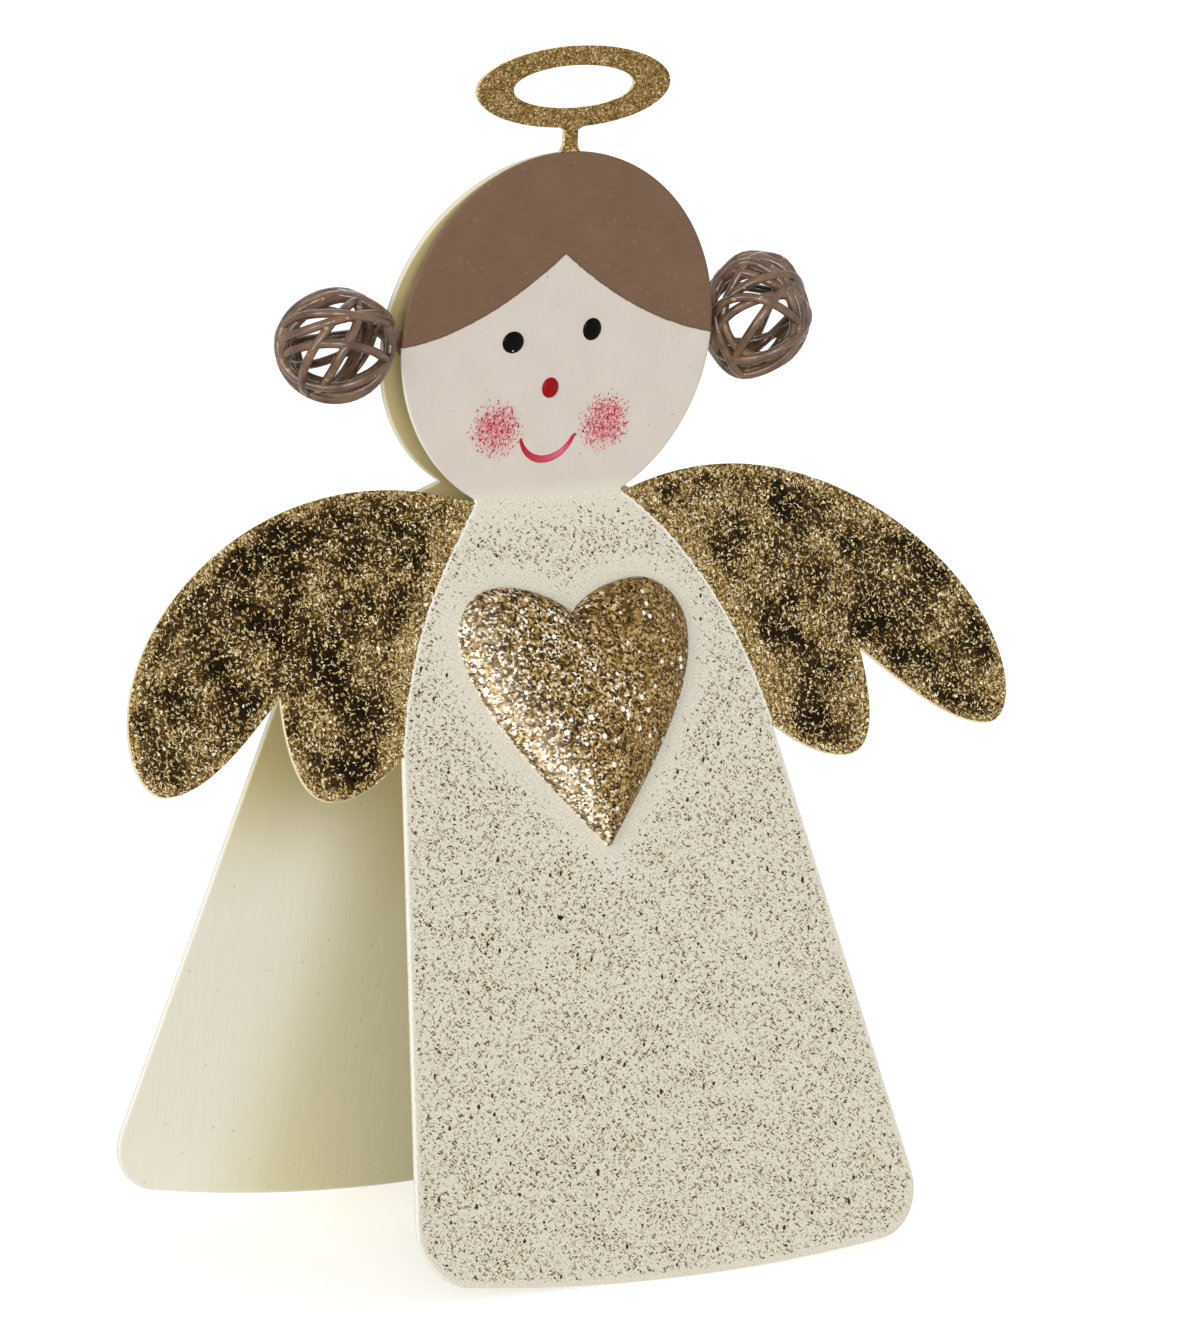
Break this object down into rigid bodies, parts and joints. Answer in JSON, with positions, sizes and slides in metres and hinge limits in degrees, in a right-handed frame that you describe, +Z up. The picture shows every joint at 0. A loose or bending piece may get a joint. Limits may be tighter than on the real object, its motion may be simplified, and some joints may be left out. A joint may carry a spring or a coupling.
{
  "type": "angel clip",
  "caption": "Painted sheet-metal angel clip: two panels hinged on a sprung pin behind the neck; the skirts stand as legs, and squeezing them opens the heads to grip a card.",
  "frame": {"origin": "on the table, under the middle of the bounding box", "axes": "+Z up, the face looks along -Y, +X to the right of someone looking at the face"},
  "size_m": [0.1578, 0.0838, 0.1814],
  "materials": {
    "cream_paint": "matte cream paint; the front sheet also carries brown hair, a pale face and gold-leafed wings",
    "gold_glitter": "gold glitter paint",
    "brown_paint": "matte brown paint on the wire and on its solder",
    "zinc_plate": "zinc-plated steel",
    "spring_steel": "bright drawn wire"
  },
  "bodies": {
    "front": {"front_panel": "cream_paint", "halo": "gold_glitter", "heart": "gold_glitter", "left_bun": "brown_paint", "right_bun": "brown_paint", "left_bun_solder": "brown_paint", "right_bun_solder": "brown_paint", "front_bracket": "zinc_plate", "hinge_pin": "zinc_plate", "torsion_spring": "spring_steel"},
    "back": {"back_panel": "cream_paint", "back_bracket": "zinc_plate"}
  },
  "joints": [
    {"name": "clip_hinge", "type": "hinge", "parent": "front", "child": "back", "pos_m": [0, 0.00156, 0.108], "axis": [-1, 0, 0], "range_deg": [0, 24], "stiffness_Nm_per_rad": 0.13, "springref_deg": -68.75, "deforming": ["torsion_spring"]}
  ]
}
